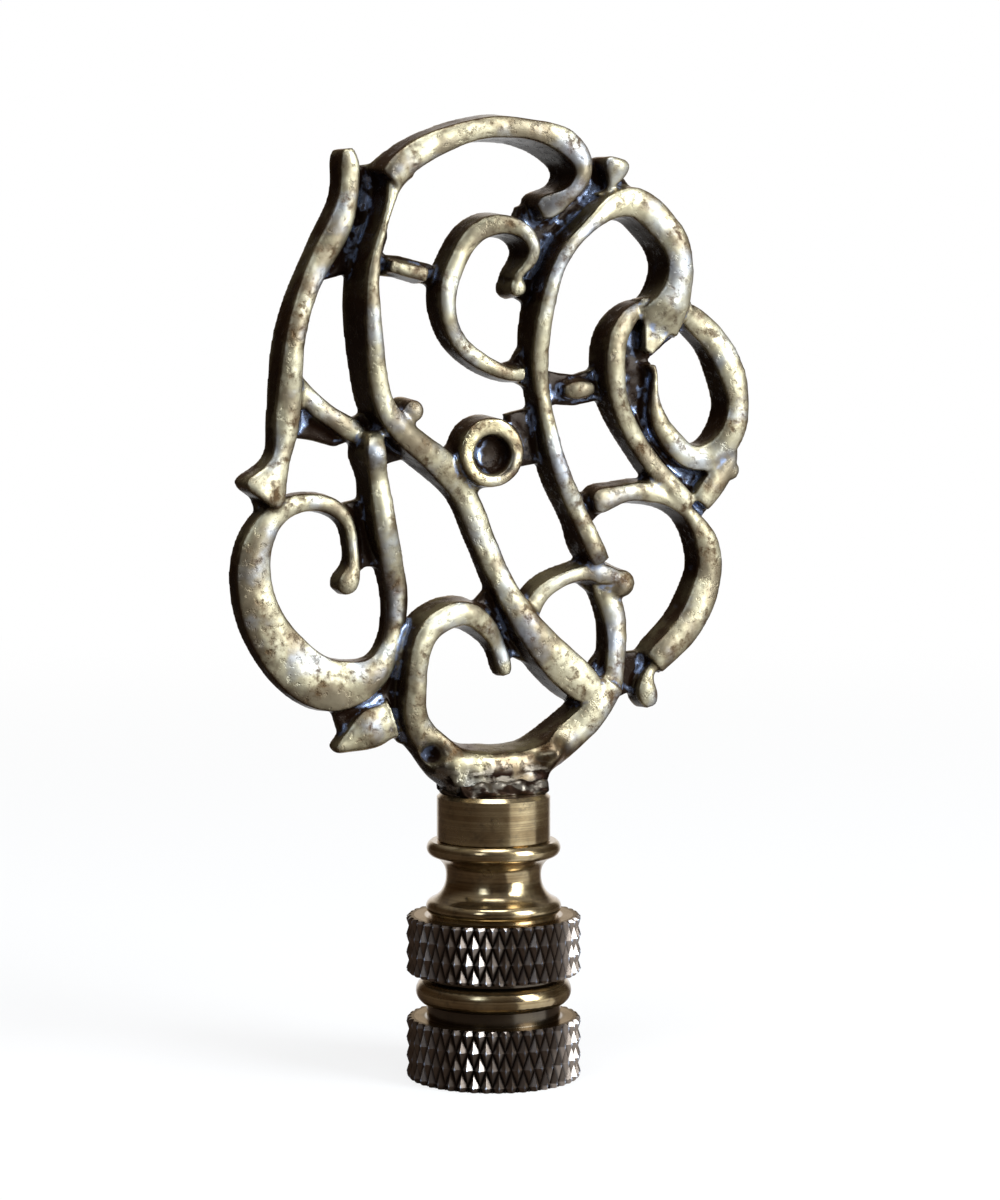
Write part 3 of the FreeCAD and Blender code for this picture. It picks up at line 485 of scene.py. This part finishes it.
def makeTurnedBrass(name, knurled):
    # Darkened turned brass with fine lathe lines; the knurl is rubbed at its tips.
    material, tree, shader = newMaterial(name)
    coords = tree.nodes.new("ShaderNodeTexCoord").outputs["Object"]
    place = tree.nodes.new("ShaderNodeSeparateXYZ")
    tree.links.new(coords, place.inputs[0])
    x, y, height = place.outputs[:3]
    radius = mathNode(tree, "SQRT", plus(tree, times(tree, x, x), times(tree, y, y)))
    # Lathe lines run round, so the noise sees only the radius and the height.
    lineCoords = tree.nodes.new("ShaderNodeCombineXYZ")
    tree.links.new(radius, lineCoords.inputs["X"])
    tree.links.new(height, lineCoords.inputs["Z"])
    lines = tree.nodes.new("ShaderNodeTexNoise")
    lines.inputs["Scale"].default_value = turnedFinish["lineScale"]
    lines.inputs["Detail"].default_value = turnedFinish["lineDetail"]
    tree.links.new(lineCoords.outputs[0], lines.inputs["Vector"])
    lineMask = rangeNode(tree, lines.outputs[0], *turnedFinish["lineLevels"])
    blotch = noiseMask(tree, coords, **turnedFinish["blotch"])
    pale = times(tree, plus(tree, lineMask, blotch), 0.5)
    metal = mixColour(tree, pale, turnedFinish["mid"], turnedFinish["bright"])
    pits = addPits(tree, coords, turnedFinish["pitScale"])
    dirt = times(tree, pits.outputs["Dirt"], turnedFinish["dirtShare"])
    metal = mixColour(tree, dirt, metal, turnedFinish["dark"])
    rough = plus(tree, turnedFinish["rough"], times(tree, blotch, turnedFinish["blotchRough"]))
    if knurled:
        metal, inRing, shelf = paintKnurl(tree, metal, radius, height)
        rough = larger(tree, rough, times(tree, inRing, knurlFinish["rough"]))
        coat = rangeNode(tree, shelf, 0.0, 1.0, turnedFinish["coat"], 0.0)
        tree.links.new(coat, shader.inputs["Coat Weight"])
    else:
        shader.inputs["Coat Weight"].default_value = turnedFinish["coat"]
    tree.links.new(metal, shader.inputs["Base Color"])
    tree.links.new(rough, shader.inputs["Roughness"])
    shader.inputs["Metallic"].default_value = turnedFinish["metallic"]
    shader.inputs["Specular Tint"].default_value = turnedFinish["edgeTint"]
    shader.inputs["Coat Roughness"].default_value = turnedFinish["coatRough"]
    addBump(tree, shader, lines.outputs[0], turnedFinish["bump"], turnedFinish["bumpDepth"])
    return material


# The finish of the solder

solderFinish = {
    "bright": linear(118, 111, 100),
    "flux": linear(34, 22, 14),
    "stain": {"scale": 620, "low": 0.62, "high": 0.46, "detail": 5.0, "stretch": (1, 1, 2.4)},
    "metallic": 0.95,
    "rough": 0.30,
    "stainRough": 0.50,
    "lumpScale": 700,
    "bump": 0.5,
    "bumpDepth": 0.00025,
}


def makeSolder():
    # Bright lumpy solder, stained by dark flux.
    material, tree, shader = newMaterial("brightSolder")
    coords = tree.nodes.new("ShaderNodeTexCoord").outputs["Object"]
    stain = noiseMask(tree, coords, **solderFinish["stain"])
    tone = mixColour(tree, stain, solderFinish["bright"], solderFinish["flux"])
    tree.links.new(tone, shader.inputs["Base Color"])
    rough = rangeNode(tree, stain, 0.0, 1.0, solderFinish["rough"], solderFinish["stainRough"])
    tree.links.new(rough, shader.inputs["Roughness"])
    shader.inputs["Metallic"].default_value = solderFinish["metallic"]
    lumps = tree.nodes.new("ShaderNodeTexNoise")
    lumps.inputs["Scale"].default_value = solderFinish["lumpScale"]
    tree.links.new(coords, lumps.inputs["Vector"])
    addBump(tree, shader, lumps.outputs[0], solderFinish["bump"], solderFinish["bumpDepth"])
    return material


castBrass = makeCastBrass()
turnedBrass = makeTurnedBrass("turnedBrass", False)
knurledBrass = makeTurnedBrass("knurledBrass", True)
brightSolder = makeSolder()
print("materials made")


# The casting: the CAD scrollwork with its edges softened and its faces cast uneven

castSizes = {
    "voxel": 0.00018,
    "soften": 4,  # rounds of averaging over the whole casting
    "pullBack": 0.30,
    "fillet": 24,  # rounds of averaging in the hollows
    "hollowRounds": 10,
    "hollowDrop": (0.01, 0.05),  # mm below the surroundings where a fillet begins and is full
    "hollowBlend": 3,
    "footSoften": 40,
    "footFrom": (0.0, 0.9 * mm),  # heights over the collar between which the foot's melting comes in
    "footTo": (3.2 * mm, 5.2 * mm),  # and those between which it goes out
    "lumps": {"size": 2.4 * mm, "seed": 11},
    "lumpHeight": 0.00004,
    "ripple": {"size": 0.9 * mm, "seed": 12, "count": 40},
    "rippleHeight": 0.000014,
    "frontTilt": (0.1, 0.7),
    "flankShare": 0.45,  # the flanks' share of the lumps and the ripple
    "pit": {"x": -0.0058, "z": 0.0274, "radius": 0.0008, "depth": 0.0012},
    "nub": {"x": 0.0048, "z": 0.0272, "radius": 0.0011, "depth": -0.0011},
    "mostTriangles": 190000,
}

forkPatch = {
    "front": -0.55 * mm,
    "back": 1.2 * mm,
    "outline": [
        (13.4 * mm, 64.89 * mm), (17.86 * mm, 65.4 * mm), (18.44 * mm, 63.89 * mm),
        (17.3 * mm, 62.54 * mm), (15.97 * mm, 61.62 * mm), (14.55 * mm, 60.12 * mm),
        (13.79 * mm, 60.54 * mm), (13.69 * mm, 62.63 * mm),
    ],
}


def addPatch(piece, patch):
    # Metal cast into a fork, as a prism that the remesh joins to the bars.
    work = bmesh.new()
    work.from_mesh(piece.data)
    rows = []
    for y in (patch["front"], patch["back"]):
        rows.append([work.verts.new((x, y, z)) for x, z in patch["outline"]])
    sides = len(patch["outline"])
    work.faces.new(rows[0])
    work.faces.new(rows[1][::-1])
    for k in range(sides):
        work.faces.new((rows[0][k - 1], rows[1][k - 1], rows[1][k], rows[0][k]))
    work.faces.ensure_lookup_table()
    bmesh.ops.recalc_face_normals(work, faces=work.faces[-sides - 2:])
    work.to_mesh(piece.data)
    work.free()


def roundCasting(mesh):
    # Rounds the edges, the hollows and the foot, and gives the new points.
    points = readVertices(mesh, "co")
    # Soften the edges, but pull back part of what the averaging takes off the volume.
    soft = neighbourMean(mesh, points, castSizes["soften"])
    lost = points - neighbourMean(mesh, soft, castSizes["soften"])
    points = soft + lost * castSizes["pullBack"]
    # The sand leaves wide fillets in the hollows.
    movePoints(mesh, points)
    sunk = -standsProud(mesh, points, readVertices(mesh, "normal"), castSizes["hollowRounds"])
    hollow = neighbourMean(mesh, ramp(sunk, *castSizes["hollowDrop"]), castSizes["hollowBlend"])
    filled = neighbourMean(mesh, points, castSizes["fillet"])
    points = points + (filled - points) * hollow[:, None]
    # The foot runs into the ring above it without a step.
    footLow, footFull = (seatHeight + rise for rise in castSizes["footFrom"])
    footEnd, footTop = (seatHeight + rise for rise in castSizes["footTo"])
    foot = fall(points[:, 2], footEnd, footTop) * ramp(points[:, 2], footLow, footFull)
    melted = neighbourMean(mesh, points, castSizes["footSoften"])
    points = points + (melted - points) * foot[:, None]
    movePoints(mesh, points)
    return points


def roughenCasting(mesh, points):
    # Lumps and ripple all over, strongest on the front, and a pit and a nub on the foot.
    normals = readVertices(mesh, "normal")
    front = ramp(-normals[:, 1], *castSizes["frontTilt"])
    lumps = waves(points, **castSizes["lumps"]) * castSizes["lumpHeight"]
    ripple = waves(points, **castSizes["ripple"]) * castSizes["rippleHeight"]
    share = castSizes["flankShare"] + (1 - castSizes["flankShare"]) * front
    points = points + normals * ((lumps + ripple) * share)[:, None]
    for mark in (castSizes["pit"], castSizes["nub"]):
        dome = np.exp(-(distanceFrom(points, mark) / mark["radius"]) ** 2)
        points[:, 1] += dome * mark["depth"] * front
    movePoints(mesh, points)


def thinCasting(piece):
    # Brings the casting under its largest number of triangles.
    triangles = sum(len(face.vertices) - 2 for face in piece.data.polygons)
    if triangles > castSizes["mostTriangles"]:
        thin = piece.modifiers.new("thin", "DECIMATE")
        thin.ratio = castSizes["mostTriangles"] / triangles
        applyModifiers(piece)


castWear = {
    "edgeRounds": 6,  # how wide the surroundings of an edge and of a hollow are
    "hollowRounds": 50,
    "edgeRise": (0.004, 0.03),  # mm above or below the surroundings, from none to full
    "hollowDrop": (0.04, 0.30),
    "filletDrop": (0.006, 0.026),
    "frontTilt": (0.35, 0.86),  # how squarely a face looks forwards, back or up
    "backTilt": (0.5, 0.9),
    "upTilt": (0.2, 0.9),
    "filletTilt": (0.0, 0.5),
    "webDepth": (1.5625 * mm, 1.25 * mm),  # distances from the back, from a bar's front to a sunk web's
    "patches": {"size": 3.0 * mm, "seed": 21},
    "frontWear": (0.64, 0.36),  # least wear, and what the patches add
    "backWear": (0.34, 0.22),
    "edgeWear": 0.12,
    "webClean": 0.85,  # share of the wear that the webs are spared
    "footWear": 0.50,
    "footTop": (2.6 * mm, 6.5 * mm),  # heights over the collar
    # Painted shade on the flanks, and how much less of it the upward-facing flanks get
    "flankShade": 0.97,
    "upLessShade": 0.30,
    "dropHollow": 0.85,
    "edgeHollow": 0.35,
    "webHollow": 0.96,
    "backHollow": 0.8,
    "boss": {"x": -0.00045, "z": 0.0520},
    "bossBore": (1.53 * mm, 1.955 * mm),
    "bossRim": (2.88 * mm, 3.52 * mm),
    "bossSpared": (0.25, 0.55),  # share of the wear that its rim is spared, and what the patches add
    "bossHollow": 0.99,
    "bossDull": (1.7 * mm, 2.04 * mm),
    "bossShade": 0.8 * mm,
    "pitReach": (0.7 * mm, 1.0 * mm),
    "pitShine": (0.9 * mm, 1.3 * mm),
    "pitDull": 0.7,
    "crease": {"x": 0.0056, "z": 0.0259, "radius": 0.0009},
    "creaseHollow": 0.9,
    "shineFrom": (2 * mm, 4 * mm),  # heights over the collar
}


def paintCasting(mesh):
    # Where the casting is rubbed, black with patina and painted flank shade, sunk, or painted with glints,
    # from its shape and a few placed spots.
    points = readVertices(mesh, "co")
    normals = readVertices(mesh, "normal")
    height = points[:, 2] - seatHeight
    near = standsProud(mesh, points, normals, castWear["edgeRounds"])
    wide = standsProud(mesh, points, normals, castWear["hollowRounds"])
    edge = ramp(near, *castWear["edgeRise"])
    front = ramp(-normals[:, 1], *castWear["frontTilt"])
    back = ramp(normals[:, 1], *castWear["backTilt"])
    upward = ramp(normals[:, 2], *castWear["upTilt"])
    barDepth, webDepth = castWear["webDepth"]
    web = front * ramp(points[:, 1], castBack - barDepth, castBack - webDepth)
    patch = 0.5 + 0.5 * waves(points, **castWear["patches"])
    least, more = castWear["frontWear"]
    wear = front * (least + more * patch) + castWear["edgeWear"] * edge * (1 - back)
    wear = np.clip(wear, 0, 1) * (1 - castWear["webClean"] * web)
    least, more = castWear["backWear"]
    wear = np.clip(wear + back * (least + more * patch), 0, 1)
    # The foot was handled least, and flux has darkened it.
    wear *= castWear["footWear"] + (1 - castWear["footWear"]) * ramp(height, *castWear["footTop"])
    # Painted shade: flanks that face neither front nor back are made dark, a little less where they face
    # up.
    paintedFlankShade = (1 - front) * (1 - back) * (castWear["flankShade"] - castWear["upLessShade"] * upward)
    drop = ramp(-wide, *castWear["hollowDrop"]) * castWear["dropHollow"]
    hollow = np.clip(paintedFlankShade + drop - castWear["edgeHollow"] * edge, 0, 1)
    hollow = np.maximum(hollow, castWear["webHollow"] * web) * (1 - castWear["backHollow"] * back)
    # The bored boss is dark inside, and its rim is little rubbed.
    boss = castWear["boss"]
    fromBoss = distanceFrom(points, boss)
    least, more = castWear["bossSpared"]
    wear *= 1 - (least + more * patch) * fall(fromBoss, *castWear["bossRim"])
    bore = fall(fromBoss, *castWear["bossBore"]) * castWear["bossHollow"]
    # The pit and the crease on the foot are dark too.
    fromPit = distanceFrom(points, castSizes["pit"])
    pit = fall(fromPit, *castWear["pitReach"])
    crease = castWear["crease"]
    line = np.exp(-(distanceFrom(points, crease) / crease["radius"]) ** 2) * castWear["creaseHollow"]
    for mark in (bore, pit, line):
        hollow = np.maximum(hollow, mark * (1 - back))
    # Painted glints on the fillets, less in the pit, and none low on the foot or in the boss's right half.
    paintedGlint = ramp(-near, *castWear["filletDrop"]) * ramp(-normals[:, 1], *castWear["filletTilt"])
    paintedGlint *= ramp(height, *castWear["shineFrom"])
    paintedGlint *= 1 - castWear["pitDull"] * fall(fromPit, *castWear["pitShine"])
    rightHalf = ramp(points[:, 0], boss["x"] - castWear["bossShade"], boss["x"])
    paintedGlint *= 1 - fall(fromBoss, *castWear["bossDull"]) * rightHalf
    # Channels: wear, hollow with patina and painted flank shade, sunk webs, painted glints.
    layer = mesh.attributes.new("patina", "FLOAT_COLOR", "POINT")
    layer.data.foreach_set("color", np.column_stack((wear, hollow, web, paintedGlint)).reshape(-1))


def makeCasting():
    piece = copyOfNode("scroll_ornament", "castScroll")
    addPatch(piece, forkPatch)
    remeshPiece(piece, castSizes["voxel"])
    points = roundCasting(piece.data)
    roughenCasting(piece.data, points)
    thinCasting(piece)
    mesh = piece.data
    mesh.shade_smooth()
    paintCasting(mesh)
    mesh.materials.clear()
    mesh.materials.append(castBrass)
    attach(piece, "root")
    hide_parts("scroll_ornament")
    print("casting", len(mesh.polygons))


makeCasting()

# The solder: a lumpy bank round the foot of the casting

solderSizes = {
    "voxel": 0.0001,
    "soften": 8,
    "lumps": {"size": 2.2 * mm, "seed": 31},
    "lumpHeight": 0.00022,
    "swell": 0.00014,
    "rise": 0.25 * mm,  # height over the collar from which the lumps are full
}


def makeSolderBank():
    piece = copyOfNode("solder_fillet", "solderBank")
    remeshPiece(piece, solderSizes["voxel"])
    mesh = piece.data
    points = neighbourMean(mesh, readVertices(mesh, "co"), solderSizes["soften"])
    movePoints(mesh, points)
    lift = waves(points, **solderSizes["lumps"]) * solderSizes["lumpHeight"] + solderSizes["swell"]
    lift = lift * ramp(points[:, 2], seatHeight, seatHeight + solderSizes["rise"])
    movePoints(mesh, points + readVertices(mesh, "normal") * lift[:, None])
    mesh.shade_smooth()
    mesh.materials.clear()
    mesh.materials.append(brightSolder)
    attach(piece, "root")
    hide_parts("solder_fillet")
    print("solder", len(mesh.polygons))


makeSolderBank()

# Threads inside the base, one ridge along a helix for each

threadSizes = {
    "stepsEachTurn": 40,
    "ridgeSides": 4,
    "pipe": {"radius": 0.00466, "pitch": 0.00094, "turns": 4.2, "start": 0.00050, "depth": 0.00042},
    "harp": {"radius": 0.00273, "pitch": 0.00094, "turns": 6.9, "start": 0.0058, "depth": 0.00038},
}


def makeThreadTree():
    # Gives the tree and the identifier of each of its inputs.
    tree = bpy.data.node_groups.new("threadRidge", "GeometryNodeTree")
    nodes, links = tree.nodes, tree.links
    kinds = dict.fromkeys(("Radius", "Pitch", "Turns", "Start", "Depth"), "NodeSocketFloat")
    kinds["Material"] = "NodeSocketMaterial"
    inputs = {}
    for label, kind in kinds.items():
        socket = tree.interface.new_socket(label, in_out="INPUT", socket_type=kind)
        inputs[label] = socket.identifier
    tree.interface.new_socket("Geometry", in_out="OUTPUT", socket_type="NodeSocketGeometry")
    start = nodes.new("NodeGroupInput")
    end = nodes.new("NodeGroupOutput")
    helix = nodes.new("GeometryNodeCurveSpiral")
    helix.inputs["Resolution"].default_value = threadSizes["stepsEachTurn"]
    links.new(start.outputs["Turns"], helix.inputs["Rotations"])
    links.new(start.outputs["Radius"], helix.inputs["Start Radius"])
    links.new(start.outputs["Radius"], helix.inputs["End Radius"])
    links.new(times(tree, start.outputs["Turns"], start.outputs["Pitch"]), helix.inputs["Height"])
    ridge = nodes.new("GeometryNodeCurvePrimitiveCircle")
    ridge.mode = "RADIUS"
    ridge.inputs["Resolution"].default_value = threadSizes["ridgeSides"]
    links.new(start.outputs["Depth"], ridge.inputs["Radius"])
    sweep = nodes.new("GeometryNodeCurveToMesh")
    sweep.inputs["Fill Caps"].default_value = True
    links.new(helix.outputs[0], sweep.inputs["Curve"])
    links.new(ridge.outputs[0], sweep.inputs["Profile Curve"])
    place = nodes.new("ShaderNodeCombineXYZ")
    links.new(start.outputs["Start"], place.inputs["Z"])
    lift = nodes.new("GeometryNodeTransform")
    links.new(sweep.outputs[0], lift.inputs["Geometry"])
    links.new(place.outputs[0], lift.inputs["Translation"])
    flat = nodes.new("GeometryNodeRealizeInstances")
    links.new(lift.outputs[0], flat.inputs[0])
    paint = nodes.new("GeometryNodeSetMaterial")
    links.new(flat.outputs[0], paint.inputs["Geometry"])
    links.new(start.outputs["Material"], paint.inputs["Material"])
    links.new(paint.outputs[0], end.inputs[0])
    return tree, inputs


threadTree, threadInputs = makeThreadTree()


def makeThread(name, sizes):
    piece = bpy.data.objects.new(name, bpy.data.meshes.new(name))
    bpy.context.scene.collection.objects.link(piece)
    thread = piece.modifiers.new("thread", "NODES")
    thread.node_group = threadTree
    for key, size in sizes.items():
        thread[threadInputs[key.capitalize()]] = size
    thread[threadInputs["Material"]] = turnedBrass
    applyModifiers(piece)
    piece.data.shade_flat()
    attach(piece, "root")
    print(name, len(piece.data.polygons))


makeThread("pipeThread", threadSizes["pipe"])
makeThread("harpThread", threadSizes["harp"])

# Finishes of the CAD pieces that stay
for nodeName, material in (("base", knurledBrass), ("collar", turnedBrass), ("joining_stud", turnedBrass)):
    for materialSlot in cadObject(nodeName).material_slots:
        materialSlot.material = material
print("CAD pieces finished")

# Floor, world, lights and camera

studio = {
    "floorSize": 12.0,
    "floorGap": 0.00003,
    "floorColour": (0.90, 0.90, 0.90, 1),
    "floorRough": 0.9,
    "floorWhite": 0.80,  # how white the floor is at the object
    "floorReach": (0.08, 0.40),  # distances between which it goes over to plain white
    "tableColour": (0.07, 0.042, 0.024, 1),
    "sheetWay": (0.62, -0.79, 0.0),
    "sheetEdge": (0.85, 0.90),
    "white": (1.0, 1.0, 1.0, 1),
    "backdropWay": (0.42, 0.90, 0.0),
    "backdropEdge": (0.82, 0.95),
    "roomColour": (0.055, 0.034, 0.020, 1),
    "ceilingEdge": (0.35, 1.0),
    "ceilingShare": 0.35,
    "aim": (0, 0, 0.045),
    "key": {"place": (0.33, -0.50, 0.27), "size": (0.26, 0.52), "power": 6.6, "tint": (0.87, 0.94, 1.0)},
    "top": {"place": (-0.05, -0.10, 0.62), "size": (0.30, 0.30), "power": 2.2, "tint": (0.88, 0.94, 1.0)},
    "left": {"place": (-0.50, -0.42, 0.40), "size": (0.15, 0.30), "power": 0.8, "tint": (0.70, 0.83, 1.0)},
}


def shareToward(tree, place, way, edge):
    # A mask of what lies that way from the object.
    unit = tree.nodes.new("ShaderNodeVectorMath")
    unit.operation = "NORMALIZE"
    tree.links.new(place, unit.inputs[0])
    toward = tree.nodes.new("ShaderNodeVectorMath")
    toward.operation = "DOT_PRODUCT"
    tree.links.new(unit.outputs[0], toward.inputs[0])
    toward.inputs[1].default_value = Vector(way).normalized()
    return rangeNode(tree, toward.outputs["Value"], *edge)


def makeFloorFinish():
    material, tree, shader = newMaterial("paleFloor")
    nodes, links = tree.nodes, tree.links
    shader.inputs["Roughness"].default_value = studio["floorRough"]
    seen = nodes.new("ShaderNodeLightPath").outputs
    place = nodes.new("ShaderNodeTexCoord").outputs["Object"]
    # The camera sees a pale floor, but the metal sees a dark table with a pale sheet on it.
    sheet = shareToward(tree, place, studio["sheetWay"], studio["sheetEdge"])
    pale = larger(tree, seen["Is Camera Ray"], sheet)
    tone = mixColour(tree, pale, studio["tableColour"], studio["floorColour"])
    links.new(tone, shader.inputs["Base Color"])
    # Metal sees the sheet and the floor behind the object as white as the picture's background.
    behind = shareToward(tree, place, studio["backdropWay"], studio["backdropEdge"])
    mirrored = larger(tree, seen["Is Glossy Ray"], seen["Is Transmission Ray"])
    mirrored = times(tree, mirrored, larger(tree, behind, sheet))
    direct = larger(tree, seen["Is Camera Ray"], mirrored)
    # The shadow stays near the object, and the floor runs out to plain white.
    away = nodes.new("ShaderNodeVectorMath")
    away.operation = "LENGTH"
    links.new(place, away.inputs[0])
    plain = rangeNode(tree, away.outputs["Value"], *studio["floorReach"], studio["floorWhite"], 1.0)
    white = nodes.new("ShaderNodeEmission")
    white.inputs["Color"].default_value = studio["white"]
    blend = nodes.new("ShaderNodeMixShader")
    links.new(times(tree, direct, plain), blend.inputs[0])
    links.new(shader.outputs[0], blend.inputs[1])
    links.new(white.outputs[0], blend.inputs[2])
    out = next(n for n in nodes if n.type == "OUTPUT_MATERIAL")
    links.new(blend.outputs[0], out.inputs[0])
    return material


def makeFloor():
    half = studio["floorSize"] / 2
    corners = [(-half, -half, 0), (half, -half, 0), (half, half, 0), (-half, half, 0)]
    mesh = bpy.data.meshes.new("floor")
    mesh.from_pydata(corners, [], [(0, 1, 2, 3)])
    mesh.materials.append(makeFloorFinish())
    floor = bpy.data.objects.new("floor", mesh)
    floor.location.z = cadLow.z - studio["floorGap"]
    bpy.context.scene.collection.objects.link(floor)


def makeWorld():
    # White to the camera. All else sees a dark room with a pale ceiling and the white backdrop.
    world = bpy.data.worlds.new("studio")
    bpy.context.scene.world = world
    world.use_nodes = True
    tree = world.node_tree
    nodes, links = tree.nodes, tree.links
    nodes.clear()
    way = nodes.new("ShaderNodeTexCoord").outputs["Generated"]
    backdrop = shareToward(tree, way, studio["backdropWay"], studio["backdropEdge"])
    parts = nodes.new("ShaderNodeSeparateXYZ")
    links.new(way, parts.inputs[0])
    ceiling = rangeNode(tree, parts.outputs["Z"], *studio["ceilingEdge"])
    light = larger(tree, backdrop, times(tree, ceiling, studio["ceilingShare"]))
    room = nodes.new("ShaderNodeBackground")
    links.new(mixColour(tree, light, studio["roomColour"], studio["white"]), room.inputs["Color"])
    plain = nodes.new("ShaderNodeBackground")
    plain.inputs["Color"].default_value = studio["white"]
    seen = nodes.new("ShaderNodeLightPath")
    blend = nodes.new("ShaderNodeMixShader")
    links.new(seen.outputs["Is Camera Ray"], blend.inputs[0])
    links.new(room.outputs[0], blend.inputs[1])
    links.new(plain.outputs[0], blend.inputs[2])
    out = nodes.new("ShaderNodeOutputWorld")
    links.new(blend.outputs[0], out.inputs[0])


def makeLight(name, sizes):
    data = bpy.data.lights.new(name, "AREA")
    data.shape = "RECTANGLE"
    data.size, data.size_y = sizes["size"]
    data.energy = sizes["power"]
    data.color = sizes["tint"]
    light = bpy.data.objects.new(name, data)
    light.location = sizes["place"]
    aim = Vector(studio["aim"]) - Vector(sizes["place"])
    light.rotation_euler = aim.to_track_quat("-Z", "Y").to_euler()
    bpy.context.scene.collection.objects.link(light)


cameraSizes = {
    "distance": 0.289,
    "height": 0.0638,
    "turn": math.radians(25.0),
    "aside": math.atan(6.5 / 3500),  # 6.5 of the photo's pixels, at a focal length of 3500 pixels
    "down": math.radians(4.72),
    "lens": 105.0,
    "sensor": 36.0,
    "nearest": 0.01,
    "farthest": 20,
}


def makeCamera():
    data = bpy.data.cameras.new("camera")
    data.sensor_fit = "VERTICAL"
    data.sensor_height = cameraSizes["sensor"]
    data.sensor_width = cameraSizes["sensor"]
    data.lens = cameraSizes["lens"]
    data.clip_start = cameraSizes["nearest"]
    data.clip_end = cameraSizes["farthest"]
    camera = bpy.data.objects.new("camera", data)
    distance = cameraSizes["distance"]
    turn = cameraSizes["turn"]
    camera.location = (-distance * math.sin(turn), -distance * math.cos(turn), cameraSizes["height"])
    tilt = math.radians(90) - cameraSizes["down"]
    camera.rotation_euler = (tilt, 0, -(turn + cameraSizes["aside"]))
    bpy.context.scene.collection.objects.link(camera)
    bpy.context.scene.camera = camera


makeFloor()
makeWorld()
makeLight("keyLight", studio["key"])
makeLight("topLight", studio["top"])
makeLight("leftLight", studio["left"])
makeCamera()
bpy.context.scene.view_settings.view_transform = "Standard"
print("studio made")
